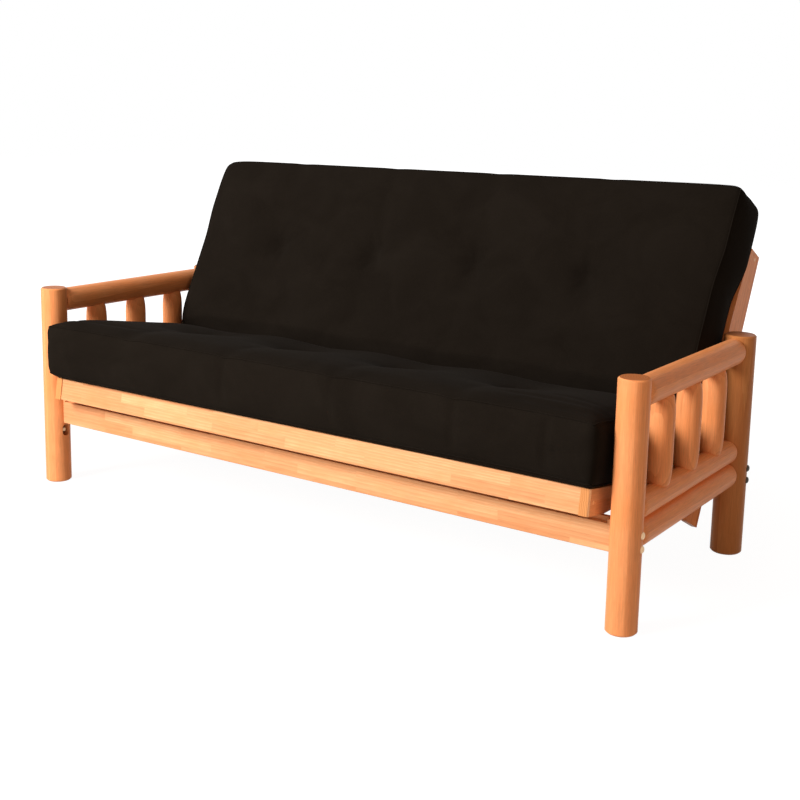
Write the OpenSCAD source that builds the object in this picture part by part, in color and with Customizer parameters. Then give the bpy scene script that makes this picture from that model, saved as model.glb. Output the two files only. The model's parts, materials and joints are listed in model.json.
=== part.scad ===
// Futon sofa: two peeled-log arms joined by two stretchers carry a slatted seat deck and back deck.
// The decks share one hinge line, whose rollers run in a sloping groove on each arm, so that the
// sofa opens into a level bed. Millimetres, +Z up, front towards -Y, drawn as a sofa.

/* [Arms] */
// Clearance between the mattress and the arm's posts
arm_gap = 5; // [2:1:60]
// Distance between the centres of the front and rear post of one arm
post_spacing = 710; // [690:1:730]
// Height of the posts
post_h = 641; // [620:1:700]
// Diameter of the front posts
front_post_d = 81; // [76:1:90]
// Diameter of the rear posts
rear_post_d = 90; // [82:1:96]
// Chamfer round both ends of a post
post_chamfer = 4; // [1:0.5:8]
// Diameter of the lower log rail
lower_rail_d = 72; // [66:1:76]
// Height of the lower log rail's centre line
lower_rail_z = 239; // [232:1:242]
// Diameter of the middle log rail, which lies on the lower one
middle_rail_d = 66; // [62:1:74]
// Diameter of the top log rail
top_rail_d = 75; // [68:1:80]
// Height of the top log rail's centre line
top_rail_z = 597; // [570:1:600]
// Diameter of the spindles at their middle
spindle_d = 68; // [50:1:76]
// Diameter of the tenons on the log rails
tenon_d = 32; // [24:1:38]
// Depth of the rail tenons in the posts
tenon_len = 26; // [18:1:28]
// Diameter of the tenons on the spindles
spindle_tenon_d = 25; // [18:1:30]
// Depth of the spindle tenons in the rails
spindle_tenon_len = 25; // [15:1:30]

/* [Stretchers] */
// Thickness of the front and rear stretchers
stretcher_t = 28; // [22:1:34]
// Height of the stretcher boards
stretcher_h = 84; // [70:1:90]
// Height of the stretchers' top edges above the floor
stretcher_top = 282; // [278:1:286]
// How far the front stretcher's face stands ahead of the front post centres
stretcher_lead = 8; // [2:1:12]
// Depth of the housing for a stretcher's end in a post
housing_d = 6; // [3:0.5:8]
// Distance between the two bolts at a stretcher's end
bolt_pitch = 35; // [30:1:40]
// Diameter of the stretcher bolts
bolt_d = 8; // [6:1:8]
// Diameter of the bolts' domed heads
bolt_head_d = 20; // [16:1:22]
// Diameter of the barrel nuts
nut_d = 12; // [11:0.5:14]
// Distance from a stretcher's end to its barrel nuts
nut_inset = 45; // [35:1:60]

/* [Decks] */
// Thickness of the side boards of the seat deck
side_board_t = 27; // [22:1:32]
// Thickness of the long boards of both decks
long_board_t = 38; // [32:1:44]
// Height of the deck boards on edge
board_h = 68; // [64:1:70]
// Height of the back deck's top board
top_board_h = 90; // [80:1:100]
// Depth of the hinge line under the face of either deck
hinge_drop = 36; // [34:1:38]
// From the hinge line to the seat deck's front edge
seat_reach = 666; // [655:1:690]
// From the hinge line to the back deck's top edge
back_reach = 714; // [690:1:730]
// From the hinge line to the foot of the back deck's stiles
foot_reach = 115; // [100:1:120]
// Thickness of the back deck's stiles
stile_t = 16.5; // [16:0.5:22]
// How far a stile reaches behind the hinge line
stile_back = 72; // [70:1:74]
// How far a stile's front edge is cut back at its top end
stile_taper = 32; // [10:1:50]
// Depth of the arched relief under the seat's side boards
relief_d = 11; // [11:0.5:14]
// Width of a slat
slat_w = 95; // [70:1:120]
// Thickness of a slat
slat_t = 18; // [14:1:22]
// Bearing of a slat's end on its board
slat_bearing = 16; // [12:1:20]
// Radius of the eased edges of the long boards and stretchers
ease_r = 3; // [1:0.5:6]
// Chamfer on the outer front corner of the seat's side boards
end_chamfer = 4; // [1:0.5:8]
// Diameter of the wood screws' shanks
screw_d = 5; // [4:0.5:6]

/* [Folding] */
// Tilt of the seat deck in the sofa position, degrees
seat_tilt = 9.3; // [8.8:0.1:9.8]
// Lean of the back deck from upright in the sofa position, degrees
back_lean = 26.5; // [25.5:0.1:27.5]
// Distance of the hinge line ahead of the rear post centres, as a sofa
hinge_lead = 115; // [110:1:125]
// Diameter of the hinge bolts
hinge_bolt_d = 10; // [8:1:12]
// Diameter of the rollers
roller_d = 30; // [26:1:30]
// Width of a roller
roller_w = 15; // [12:0.5:16]
// Distance from the post centres to the track boards' inner faces
track_offset = 50; // [49:1:56]
// Thickness of a track board
track_t = 24; // [22:1:26]
// Depth of the groove in a track board
groove_d = 13.5; // [12:0.5:15]

/* [Mattress] */
// Width of the mattress
mattress_w = 1936; // [1860:1:1942]
// Thickness of the mattress at its edges
mattress_t = 176; // [110:1:190]
// Height of the crown over the edges
crown = 16; // [5:1:30]
// From the hinge line to the mattress's front edge
mattress_front = 700; // [680:1:720]
// From the hinge line to the mattress's top edge
mattress_back = 826; // [780:1:870]
// How far the sides are drawn in between the corners
draw_in = 8; // [2:1:14]
// Radius of the mattress's soft edges
edge_r = 30; // [20:1:45]
// Distance between two columns of tufts
tuft_pitch = 388; // [340:1:400]
// Offset of the tuft columns to the left
tuft_shift = 24; // [0:1:40]
// Distance of a tuft row from the mattress's end
tuft_row = 318; // [280:1:360]
// Depth of a tuft
tuft_depth = 34; // [15:1:45]
// Thickness of the cover and its wadding round the filling
cover_t = 30; // [20:1:36]

/* [Hidden] */
$fn = 64;

// Colours as in the photograph: lacquered pine, black hardware, nylon, black suede, foam
pine = "#D98F52";
pine_dark = "#B06A33";
hardware = "#2A2522";
nylon = "#E8E4DA";
suede = "#1E1B18";
foam = "#E9DFC2";

// Clearance between glued or bolted wood, and under a deck at rest
fit_gap = 0.2;
rest_gap = 0.3;
// Radial clearance of a fastener's shank and of a turning pin
shank_gap = 0.05;
pin_gap = 0.05;

// Arm layout, seen from the side
arm_x = (mattress_w + max(front_post_d, rear_post_d)) / 2 + arm_gap;
front_r = front_post_d / 2;
rear_r = rear_post_d / 2;
middle_rail_z = lower_rail_z + (lower_rail_d + middle_rail_d) / 2 + fit_gap;
spindle_pitch = post_spacing / 4;
// How far a log rail's shoulder is rounded, and how much thinner it is at the post
shoulder_len = 26;
shoulder_drop = 12;
cope = 10;

// Decks across the sofa, from the track inwards
track_x = arm_x - track_offset;
stile_x1 = track_x - 3.5;
stile_x0 = stile_x1 - stile_t;
seat_x1 = stile_x0 - 1;
seat_x0 = seat_x1 - side_board_t;
board_z0 = hinge_drop - board_h;

// Hinge line behind the front post centres, as a sofa
hinge_y = post_spacing - hinge_lead;

// The seat rests on the rear top edge of the front stretcher, which sets the hinge's height
stretcher_y1 = stretcher_t - stretcher_lead;
hinge_z = stretcher_top
    - ((hinge_y - stretcher_y1) * sin(seat_tilt) + board_z0 - rest_gap) / cos(seat_tilt);
// As a bed, the hinge line is midway between the posts and both decks lie on the stretchers
bed_hinge_y = post_spacing / 2;
bed_hinge_z = stretcher_top - board_z0 + rest_gap;
// Slope of the back deck above the level, as a sofa
back_rise = 90 - back_lean;
// The stiles lean on the front top edge of the rear stretcher
rear_stretcher_y = hinge_y + rest_gap
    + ((stretcher_top - hinge_z) + stile_back * cos(back_rise)) / tan(back_rise)
    + stile_back * sin(back_rise);

// Turns a child drawn for the right (1) over to the left (-1)
module flip(s) {
    mirror([s < 0 ? 1 : 0, 0, 0]) children();
}

// Places a child drawn in the post frame, whose Y starts at the front post centres
module centred() {
    translate([0, -y_mid, 0]) children();
}

module side(s) {
    flip(s) centred() children();
}

// Places a child drawn with its deck level and the hinge line at the origin
module on_seat() {
    centred() translate([0, hinge_y, hinge_z]) rotate([-seat_tilt, 0, 0]) children();
}

module on_back() {
    centred() translate([0, hinge_y, hinge_z]) rotate([back_rise, 0, 0]) children();
}

// A round bar along +X or +Y from its own origin
module bar_x(d, len) {
    rotate([0, 90, 0]) cylinder(d = d, h = len);
}

module bar_y(d, len) {
    rotate([-90, 0, 0]) cylinder(d = d, h = len);
}

// A board's outline in the side view, given its width across X
module across_x(x0, x1) {
    translate([x0, 0, 0]) rotate([90, 0, 90]) linear_extrude(x1 - x0) children();
}

// A board's section, w by h, with its corners eased by r0 at the low side and r1 at the high one
function corner(c, r, a0) = r == 0 ? [c] : [for (a = [a0:15:a0 + 90]) c + r * [cos(a), sin(a)]];
module eased(w, h, r0, r1) {
    polygon(concat(
        corner([r0, r0], r0, 180), corner([w - r1, r1], r1, 270),
        corner([w - r1, h - r1], r1, 0), corner([r0, h - r0], r0, 90)
    ));
}

// A slot with round ends between two points of the side view
module slot(a, b, r) {
    translate(a) circle(r = r);
    translate(b) circle(r = r);
    translate(a) rotate(atan2(b[1] - a[1], b[0] - a[0])) translate([0, -r]) square([norm(b - a), 2 * r]);
}

// A countersunk wood screw along -Z with its head flush at the origin
screw_head_d = 2 * screw_d;
module wood_screw(len) {
    rotate([180, 0, 0]) rotate_extrude() polygon([
        [0, 0], [screw_head_d / 2, 0], [screw_head_d / 2, 0.6], [screw_d / 2, 3],
        [screw_d / 2, len - 4], [0, len]
    ]);
}

// The hole that such a screw fills
module screw_hole(len) {
    rotate([180, 0, 0]) rotate_extrude() polygon([
        [0, -1], [screw_head_d / 2 + shank_gap, -1], [screw_head_d / 2 + shank_gap, 0.6 + shank_gap],
        [screw_d / 2 + shank_gap, 3 + shank_gap], [screw_d / 2 + shank_gap, len + 1], [0, len + 1]
    ]);
}

/* Arms */

module post_blank(d) {
    r = d / 2;
    rotate_extrude() polygon([
        [0, 0], [r - post_chamfer, 0], [r, post_chamfer],
        [r, post_h - post_chamfer], [r - post_chamfer, post_h], [0, post_h]
    ]);
}

// Mortises for the three log rails, dir 1 towards the back and -1 towards the front
module rail_mortises(r, dir) {
    for (z = [lower_rail_z, middle_rail_z, top_rail_z])
        translate([0, dir * (r - tenon_len), z]) rotate([-90 * dir, 0, 0])
            cylinder(d = tenon_d + 2 * fit_gap, h = tenon_len + 1);
}

// The two bolt heights at a stretcher's end
bolt_mid = stretcher_top - stretcher_h / 2 - 4.5;
bolt_zs = [bolt_mid + bolt_pitch / 2, bolt_mid - bolt_pitch / 2];
head_seat = 3;
head_h = 8;

// Bolt holes through a post, with flat seats for the domed heads; y is measured from the post
module bolt_holes(r, y) {
    for (z = bolt_zs) translate([0, y, z]) {
        translate([-r - 1, 0, 0]) bar_x(bolt_d + 4 * shank_gap, 2 * r + 2);
        translate([seat_at(r), 0, 0]) bar_x(bolt_head_d + 1, r);
    }
}

// Where a bolt head seats on the outside of a post
function seat_at(r) = r - head_seat;

// Oblong recess low on the inside of each front post, under the stretcher, with a bolt's head in it
recess_drop = 24.5;
recess_z = stretcher_top - stretcher_h - recess_drop;
recess_h = 38;
recess_w = 24;
recess_depth = 14;
post_bolt_len = 40;
post_bolt_head = 5;
post_bolt_head_d = 12.5;

module front_post(s) {
    color(pine) side(s) translate([arm_x, 0, 0]) difference() {
        post_blank(front_post_d);
        rail_mortises(front_r, 1);
        bolt_holes(front_r, front_bolt_y);
        translate([-arm_x, 0, 0]) front_board(fit_gap);
        translate([-front_r - 1, 0, recess_z]) across_x(0, recess_depth + 1)
            slot([0, (recess_w - recess_h) / 2], [0, (recess_h - recess_w) / 2], recess_w / 2);
        translate([recess_depth - front_r - 1, 0, recess_z])
            bar_x(bolt_d + 2 * shank_gap, post_bolt_len + 2);
    }
}

module rear_post(s) {
    color(pine_dark) side(s) translate([arm_x, post_spacing, 0]) difference() {
        post_blank(rear_post_d);
        rail_mortises(rear_r, -1);
        bolt_holes(rear_r, rear_bolt_y);
        translate([-arm_x, -post_spacing, 0]) rear_board(fit_gap);
    }
}

// Side profile of a log with rounded shoulders, turned about Z, from h0 to h1
module log(d, h0, h1, drop, round_len) {
    r = d / 2;
    steps = 6;
    lower = [for (i = [0:steps], a = [90 * i / steps])
        [r - drop * (1 - sin(a)), h0 + round_len * (1 - cos(a))]];
    upper = [for (i = [steps:-1:0]) [lower[i][0], h0 + h1 - lower[i][1]]];
    rotate_extrude() polygon(concat([[0, h0]], lower, upper, [[0, h1]]));
}

// A log rail between the posts of an arm, with its coped ends and tenons
module log_rail(d, z) {
    translate([arm_x, 0, z]) {
        difference() {
            rotate([-90, 0, 0])
                log(d, front_r - cope, post_spacing - rear_r + cope, shoulder_drop, shoulder_len);
            translate([0, 0, -d]) cylinder(r = front_r + fit_gap, h = 2 * d);
            translate([0, post_spacing, -d]) cylinder(r = rear_r + fit_gap, h = 2 * d);
        }
        translate([0, front_r - tenon_len + fit_gap, 0]) bar_y(tenon_d, tenon_len + cope);
        translate([0, post_spacing - rear_r - cope, 0]) bar_y(tenon_d, tenon_len + cope - fit_gap);
    }
}

// Mortises for the spindles, from the rail's centre height z upwards or downwards
module spindle_mortises(z, r, dir) {
    for (i = [1:3]) translate([arm_x, i * spindle_pitch, z + dir * (r - spindle_tenon_len)])
        rotate([dir > 0 ? 0 : 180, 0, 0])
            cylinder(d = spindle_tenon_d + 2 * fit_gap, h = spindle_tenon_len + 1);
}

// Housing for the track board in the inner side of the two lower rails and the spindles' feet
module track_seat() {
    translate([0, track_y0 - fit_gap, track_z0 - fit_gap])
        cube([track_x + track_t, track_y1 - track_y0 + 2 * fit_gap, track_z1 - track_z0 + 2 * fit_gap]);
}

module top_rail(s) {
    color(pine) side(s) difference() {
        log_rail(top_rail_d, top_rail_z);
        spindle_mortises(top_rail_z, top_rail_d / 2, -1);
    }
}

module middle_rail(s) {
    color(pine) side(s) difference() {
        log_rail(middle_rail_d, middle_rail_z);
        spindle_mortises(middle_rail_z, middle_rail_d / 2, 1);
        track_seat();
        track_screw_holes();
    }
}

module lower_rail(s) {
    color(pine) side(s) difference() {
        log_rail(lower_rail_d, lower_rail_z);
        track_seat();
        track_screw_holes();
    }
}

// A spindle swells from its saddles to its middle and has a tenon at each end
saddle = 9;
module spindle(s, i) {
    z0 = middle_rail_z + middle_rail_d / 2;
    z1 = top_rail_z - top_rail_d / 2;
    color(pine) side(s) difference() {
        translate([arm_x, i * spindle_pitch, 0]) {
            difference() {
                log(spindle_d, z0 - saddle, z1 + saddle, 9, 60);
                translate([0, -spindle_d, middle_rail_z]) bar_y(middle_rail_d + 2 * fit_gap, 2 * spindle_d);
                translate([0, -spindle_d, top_rail_z]) bar_y(top_rail_d + 2 * fit_gap, 2 * spindle_d);
            }
            translate([0, 0, z0 - spindle_tenon_len + fit_gap])
                cylinder(d = spindle_tenon_d, h = z1 - z0 + 2 * spindle_tenon_len - 2 * fit_gap);
        }
        track_seat();
    }
}

/* Track */

// Wall of the board beyond the ends of the groove, and above and below it
track_wall = 20;
track_lip = 8;
groove_r = roller_d / 2 + 0.3;
track_y0 = bed_hinge_y - groove_r - track_wall;
track_y1 = hinge_y + groove_r + track_wall;
track_z0 = hinge_z - groove_r - track_lip;
track_z1 = bed_hinge_z + groove_r + track_lip;
track_screw_len = 40;
track_screw_edge = 10;

module groove() {
    slot([hinge_y, hinge_z], [bed_hinge_y, bed_hinge_z], groove_r);
}

// Places a child at each screw of a track board, pointing out of its inner face
module at_track_screws() {
    for (y = [track_y0 + track_screw_edge, track_y1 - track_screw_edge])
        for (z = [lower_rail_z, middle_rail_z])
            translate([track_x, y, z]) rotate([0, -90, 0]) children();
}

module track_screw_holes() {
    at_track_screws() screw_hole(track_screw_len);
}

module track(s) {
    color(pine_dark) side(s) difference() {
        across_x(track_x, track_x + track_t) translate([track_y0, track_z0])
            square([track_y1 - track_y0, track_z1 - track_z0]);
        across_x(track_x - 1, track_x + groove_d) groove();
        track_screw_holes();
    }
}

module track_screws() {
    color(hardware) for (s = [-1, 1]) side(s) at_track_screws() wood_screw(track_screw_len);
}

/* Stretchers */

front_bolt_y = stretcher_t / 2 - stretcher_lead;
rear_bolt_y = rear_stretcher_y + stretcher_t / 2 - post_spacing;
front_half = arm_x - front_r + housing_d;
rear_half = arm_x - rear_r + housing_d;

// Stretcher boards, grown by gap for the housings in the posts; a board itself is eased outside
module stretcher_board(half, y, gap, r0, r1) {
    across_x(-half, half) translate([y - gap, stretcher_top - stretcher_h - gap])
        eased(stretcher_t + 2 * gap, stretcher_h + 2 * gap, r0, r1);
}

module front_board(gap) {
    stretcher_board(front_half, -stretcher_lead, gap, gap > 0 ? 0 : ease_r, 0);
}

module rear_board(gap) {
    stretcher_board(rear_half, rear_stretcher_y, gap, 0, gap > 0 ? 0 : ease_r);
}

// Holes for the bolts and barrel nuts in both ends of a stretcher, at the bolts' depth y
bolt_tail = 10;
module stretcher_holes(half, y) {
    for (s = [-1, 1]) mirror([s < 0 ? 1 : 0, 0, 0]) for (z = bolt_zs) {
        translate([half - nut_inset - bolt_tail - 2, y, z]) bar_x(bolt_d + 4 * shank_gap, half);
        translate([half - nut_inset, y - nut_len / 2, z]) bar_y(nut_d + 2 * shank_gap, stretcher_t);
    }
}

// Rebate along the front stretcher's top front edge, so that it stays clear of the seat's front rail
rebate_h = 12;
rebate_d = 14;
rebate_half = arm_x - front_r - 8;

nut_len = 20;
module front_stretcher() {
    color(pine) centred() difference() {
        front_board(0);
        stretcher_holes(front_half, front_bolt_y);
        across_x(-rebate_half, rebate_half)
            translate([-stretcher_lead - 1, stretcher_top - rebate_h]) square([rebate_d + 1, rebate_h + 1]);
    }
}

module rear_stretcher() {
    color(pine) centred() difference() {
        rear_board(0);
        stretcher_holes(rear_half, post_spacing + rear_bolt_y);
    }
}

// A bolt with a domed head, seated at x_seat and reaching past its barrel nut
module stretcher_bolt(x_seat, half, y) {
    x_tip = half - nut_inset - bolt_tail;
    rim = 1.5;
    for (z = bolt_zs) translate([x_seat, y, z]) rotate([0, 90, 0]) rotate_extrude() polygon(concat(
        [[0, x_tip - x_seat], [bolt_d / 2, x_tip - x_seat], [bolt_d / 2, 0], [bolt_head_d / 2, 0]],
        [for (a = [0:15:90]) [bolt_head_d / 2 * cos(a), rim + (head_h - rim) * sin(a)]]
    ));
}

module stretcher_bolts() {
    color(hardware) for (s = [-1, 1]) side(s) {
        stretcher_bolt(arm_x + seat_at(front_r), front_half, front_bolt_y);
        stretcher_bolt(arm_x + seat_at(rear_r), rear_half, post_spacing + rear_bolt_y);
    }
}

// A barrel nut across the stretcher, threaded on its bolt
module barrel_nut(half, y) {
    for (z = bolt_zs) translate([half - nut_inset, y, z]) difference() {
        translate([0, -nut_len / 2, 0]) bar_y(nut_d, nut_len);
        translate([-nut_d, 0, 0]) bar_x(bolt_d + 2 * thread_gap, 2 * nut_d);
    }
}

thread_gap = 0.02;
module barrel_nuts() {
    color(hardware) for (s = [-1, 1]) side(s) {
        barrel_nut(front_half, front_bolt_y);
        barrel_nut(rear_half, post_spacing + rear_bolt_y);
    }
}

// Hexagon-headed bolts in the oblong recesses of the front posts
module post_bolts() {
    color(hardware) for (s = [-1, 1]) side(s)
        translate([arm_x - front_r + recess_depth, 0, recess_z]) {
            bar_x(bolt_d, post_bolt_len);
            translate([-post_bolt_head, 0, 0]) rotate([0, 90, 0])
                cylinder(d = post_bolt_head_d, h = post_bolt_head, $fn = 6);
        }
}

/* Seat deck, drawn level with the hinge line at the origin */

// From the hinge line to the seat's rear board and to the back's bottom board
seat_board_clear = 62;
back_board_clear = 46;
frame_screw_len = 75;
slat_screw_len = 34;
slat_count = 8;
slat_pitch = 2 * seat_x0 / slat_count;
// Arched relief under the seat's side boards, between the places where they rest on the front
// stretcher as a bed and as a sofa, because they dip on the way
relief_u0 = bed_hinge_y - stretcher_y1 - 2;
relief_u1 = (hinge_y - stretcher_y1) * cos(seat_tilt) + (stretcher_top - hinge_z) * sin(seat_tilt) + 1;
relief_half = (relief_u1 - relief_u0) / 2;
relief_r = (relief_half * relief_half + relief_d * relief_d) / (2 * relief_d);

function slat_x(i) = (i - (slat_count + 1) / 2) * slat_pitch;

// Positions of the screws along the deck, for boards and slats
seat_front_screw = -seat_reach + long_board_t / 2;
seat_rear_screw = -seat_board_clear - long_board_t / 2;
seat_slat_y0 = -seat_reach + long_board_t - slat_bearing + fit_gap;
seat_slat_y1 = -seat_board_clear - long_board_t + slat_bearing - fit_gap;
back_slat_y0 = back_board_clear + long_board_t - slat_bearing + fit_gap;
back_slat_y1 = back_reach - long_board_t + slat_bearing - fit_gap;
board_mid = hinge_drop - board_h / 2;
top_screw_z = hinge_drop - top_board_h + 14;

// Places a child at each frame screw's head, on the outer face at x, pointing inwards
module at_frame_screws(x, ends) {
    for (s = [-1, 1], e = ends) flip(s) translate([x, e[0], e[1]]) rotate([0, 90, 0]) children();
}

seat_frame_ends = [[seat_front_screw, board_mid], [seat_rear_screw, board_mid]];
back_frame_ends = [
    [back_board_clear + long_board_t / 2, board_mid], [back_reach - long_board_t / 2, top_screw_z]
];

// Places a child at both ends of slat i, whose ends are at y0 and y1
module at_slat_screws(i, y0, y1) {
    for (y = [y0 + slat_bearing / 2, y1 - slat_bearing / 2])
        translate([slat_x(i), y, hinge_drop]) children();
}

module seat_screw_holes() {
    at_frame_screws(seat_x1, seat_frame_ends) screw_hole(frame_screw_len);
    for (i = [1:slat_count]) at_slat_screws(i, seat_slat_y0, seat_slat_y1) screw_hole(slat_screw_len);
}

module back_screw_holes() {
    at_frame_screws(stile_x1, back_frame_ends) screw_hole(frame_screw_len);
    for (i = [1:slat_count]) at_slat_screws(i, back_slat_y0, back_slat_y1) screw_hole(slat_screw_len);
}

// A long board of height h with eased edges, and a rebate for the slats in front of or behind it
module long_board(half, y0, h, rebate_y) {
    difference() {
        across_x(-half, half) translate([y0, hinge_drop - h]) eased(long_board_t, h, ease_r, ease_r);
        translate([-half - 1, rebate_y, hinge_drop - slat_t])
            cube([2 * half + 2, slat_bearing, slat_t + 1]);
    }
}

module seat_front_rail() {
    y0 = -seat_reach;
    color(pine) on_seat() difference() {
        long_board(seat_x0, y0, board_h, y0 + long_board_t - slat_bearing);
        seat_screw_holes();
    }
}

module seat_rear_rail() {
    y0 = -seat_board_clear - long_board_t;
    color(pine) on_seat() difference() {
        long_board(seat_x0, y0, board_h, y0);
        seat_screw_holes();
    }
}

// Side board: square at the front, a little proud of the front rail, and round about the hinge line
side_reach = seat_reach + 3;
module seat_rail(s) {
    color(pine) on_seat() difference() {
        flip(s) difference() {
            across_x(seat_x0, seat_x1) difference() {
                union() {
                    translate([-side_reach, board_z0]) square([side_reach, board_h]);
                    translate([0, board_mid]) circle(d = board_h);
                }
                translate([-relief_u0 - relief_half, board_z0 + relief_d - relief_r])
                    circle(r = relief_r, $fn = 180);
            }
            translate([seat_x0 - 1, 0, 0]) bar_x(hinge_bolt_d + 2 * pin_gap, side_board_t + 2);
            translate([seat_x1, -side_reach, board_mid]) rotate(45)
                cube([end_chamfer * sqrt(2), end_chamfer * sqrt(2), board_h + 2], center = true);
        }
        seat_screw_holes();
    }
}

module seat_slat(i) {
    color(pine_dark) on_seat() difference() {
        translate([slat_x(i) - slat_w / 2, seat_slat_y0, hinge_drop - slat_t])
            cube([slat_w, seat_slat_y1 - seat_slat_y0, slat_t]);
        at_slat_screws(i, seat_slat_y0, seat_slat_y1) screw_hole(slat_screw_len);
    }
}

module seat_frame_screws() {
    color(hardware) on_seat() at_frame_screws(seat_x1, seat_frame_ends) wood_screw(frame_screw_len);
}

module seat_slat_screws() {
    color(hardware) on_seat() for (i = [1:slat_count])
        at_slat_screws(i, seat_slat_y0, seat_slat_y1) wood_screw(slat_screw_len);
}

/* Back deck, drawn level with the hinge line at the origin */

module back_top_rail() {
    y0 = back_reach - long_board_t;
    color(pine) on_back() difference() {
        long_board(stile_x0, y0, top_board_h, y0);
        back_screw_holes();
    }
}

module back_bottom_rail() {
    y0 = back_board_clear;
    color(pine) on_back() difference() {
        long_board(stile_x0, y0, board_h, y0 + long_board_t - slat_bearing);
        back_screw_holes();
    }
}

// A stile's outline: rounded foot, straight front edge, then a curved taper to the top
foot_r = 25;
taper_y = 420;
notch_lead = 44;
notch_gap = 8;
module stile_outline() {
    steps = 8;
    notch_y = rear_stretcher_y - bed_hinge_y;
    difference() {
        polygon(concat(
            [[-foot_reach, -stile_back]],
            [for (a = [0:15:90])
                [-foot_reach + foot_r * (1 - cos(a)), hinge_drop - foot_r * (1 - sin(a))]],
            [for (i = [0:steps], t = [i / steps])
                [taper_y + (back_reach - taper_y) * t, hinge_drop - stile_taper * t * t]],
            [[back_reach, -stile_back]]
        ));
        polygon([
            [notch_y - notch_gap - notch_lead, -stile_back - 1], [notch_y - notch_gap, board_z0],
            [notch_y + stretcher_t + notch_gap, board_z0],
            [notch_y + stretcher_t + notch_gap, -stile_back - 1]
        ]);
    }
}

module stile(s) {
    color(pine) on_back() difference() {
        flip(s) difference() {
            across_x(stile_x0, stile_x1) stile_outline();
            translate([stile_x0 - 1, 0, 0]) bar_x(hinge_bolt_d + 2 * pin_gap, stile_t + 2);
        }
        back_screw_holes();
    }
}

module back_slat(i) {
    color(pine_dark) on_back() difference() {
        translate([slat_x(i) - slat_w / 2, back_slat_y0, hinge_drop - slat_t])
            cube([slat_w, back_slat_y1 - back_slat_y0, slat_t]);
        at_slat_screws(i, back_slat_y0, back_slat_y1) screw_hole(slat_screw_len);
    }
}

module back_frame_screws() {
    color(hardware) on_back() at_frame_screws(stile_x1, back_frame_ends) wood_screw(frame_screw_len);
}

module back_slat_screws() {
    color(hardware) on_back() for (i = [1:slat_count])
        at_slat_screws(i, back_slat_y0, back_slat_y1) wood_screw(slat_screw_len);
}

/* Hinge */

hinge_head_d = 20;
hinge_head_h = 6;
roller_end_gap = 0.5;
roller_x1 = track_x + groove_d - roller_end_gap;
module hinge_bolt(s) {
    color(hardware) side(s) translate([seat_x0 - rest_gap, hinge_y, hinge_z]) {
        bar_x(hinge_bolt_d, roller_x1 - seat_x0 + rest_gap - roller_end_gap);
        translate([-hinge_head_h, 0, 0]) bar_x(hinge_head_d, hinge_head_h);
    }
}

module roller(s) {
    color(nylon) side(s) translate([roller_x1 - roller_w, hinge_y, hinge_z]) difference() {
        bar_x(roller_d, roller_w);
        translate([-1, 0, 0]) bar_x(hinge_bolt_d + 2 * pin_gap, roller_w + 2);
    }
}

/* Mattress, in two halves that meet on the plane midway between the decks */

mattress_half = mattress_w / 2;
bed_z = hinge_drop + rest_gap;
mitre = tan((back_rise + seat_tilt) / 2);
mitre_gap = rest_gap / 2 / cos((back_rise + seat_tilt) / 2);
tuft_r = 42;
valley_r = 26;
valley_d = 5;
tuft_columns = [for (k = [-1.5:1:1.5]) k * tuft_pitch - tuft_shift];
crease_r = 22;

// How far the tufts and the valleys along their columns pull the top down, at x across and u out
// from the hinge line, in a half of length reach
function bell(d2, r) = exp(-d2 / (r * r));
function sag(x, u, reach) =
    sum([for (c = tuft_columns, dx = [x - c], du = [u - reach + tuft_row])
        tuft_depth * bell(dx * dx + du * du, tuft_r) + valley_d * bell(dx * dx, valley_r)]);
function sum(v) = v * [for (i = v) 1];
function swell(x, u, reach) =
    let (mid = (reach + mitre * bed_z) / 2, half = reach - mid)
    crown * (1 - pow(x / mattress_half, 4)) * (1 - pow((u - mid) / half, 4));
function top_z(x, u, reach) = bed_z + mattress_t + swell(x, u, reach) - sag(x, u, reach);

// Steps along the top from the outer edge to the tuft row, and from there to the crease
row_steps = 6;
inner_steps = 5;

// One ring of points round a half at x, drawn in all round by inset, in the level deck's u and z
function ring_uz(x, inset, reach) =
    let (
        u1 = reach - inset - draw_in * (1 - pow(x / mattress_half, 2)),
        z1 = bed_z + mattress_t - inset,
        z0 = bed_z + inset / 4,
        foot = 12,
        row = reach - tuft_row,
        uc = mitre * z1 + crease_r + mitre_gap
    ) concat(
        [[mitre * z0 + mitre_gap, z0], [(mitre * z0 + u1) / 2, z0], [u1 - foot, z0]],
        [[u1 - foot / 4, z0 + foot / 4], [u1, z0 + foot]],
        [[u1 + 4, (z0 + z1) / 2]],
        [for (a = [0:30:60]) [u1 - edge_r * (1 - cos(a)), z1 - edge_r * (1 - sin(a))]],
        [for (i = [0:row_steps - 1], u = [u1 - edge_r + (row - u1 + edge_r) * i / row_steps])
            [u, top_z(x, u, reach) - inset]],
        [for (i = [0:inner_steps], u = [row + (uc - row) * i / inner_steps])
            [u, top_z(x, u, reach) - inset]],
        [[mitre * (z1 - crease_r / 3) + crease_r / 3 + mitre_gap, z1 - crease_r / 3],
         [mitre * (z1 - crease_r) + mitre_gap, z1 - crease_r]]
    );

// Stations across the mattress: a regular grid on the tuft columns, and rounded ends
station_step = tuft_pitch / 8;
station_end = mattress_half - edge_r;
end_angles = [0, 30, 60, 84];
station_k0 = ceil((-station_end + 8 + tuft_shift) / station_step);
station_k1 = floor((station_end - 8 + tuft_shift) / station_step);
stations = concat(
    [for (i = [len(end_angles) - 1:-1:0], a = [end_angles[i]])
        [-station_end - edge_r * sin(a), edge_r * (1 - cos(a))]],
    [for (k = [station_k0:station_k1]) [k * station_step - tuft_shift, 0]],
    [for (a = end_angles) [station_end + edge_r * sin(a), edge_r * (1 - cos(a))]]
);

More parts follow.
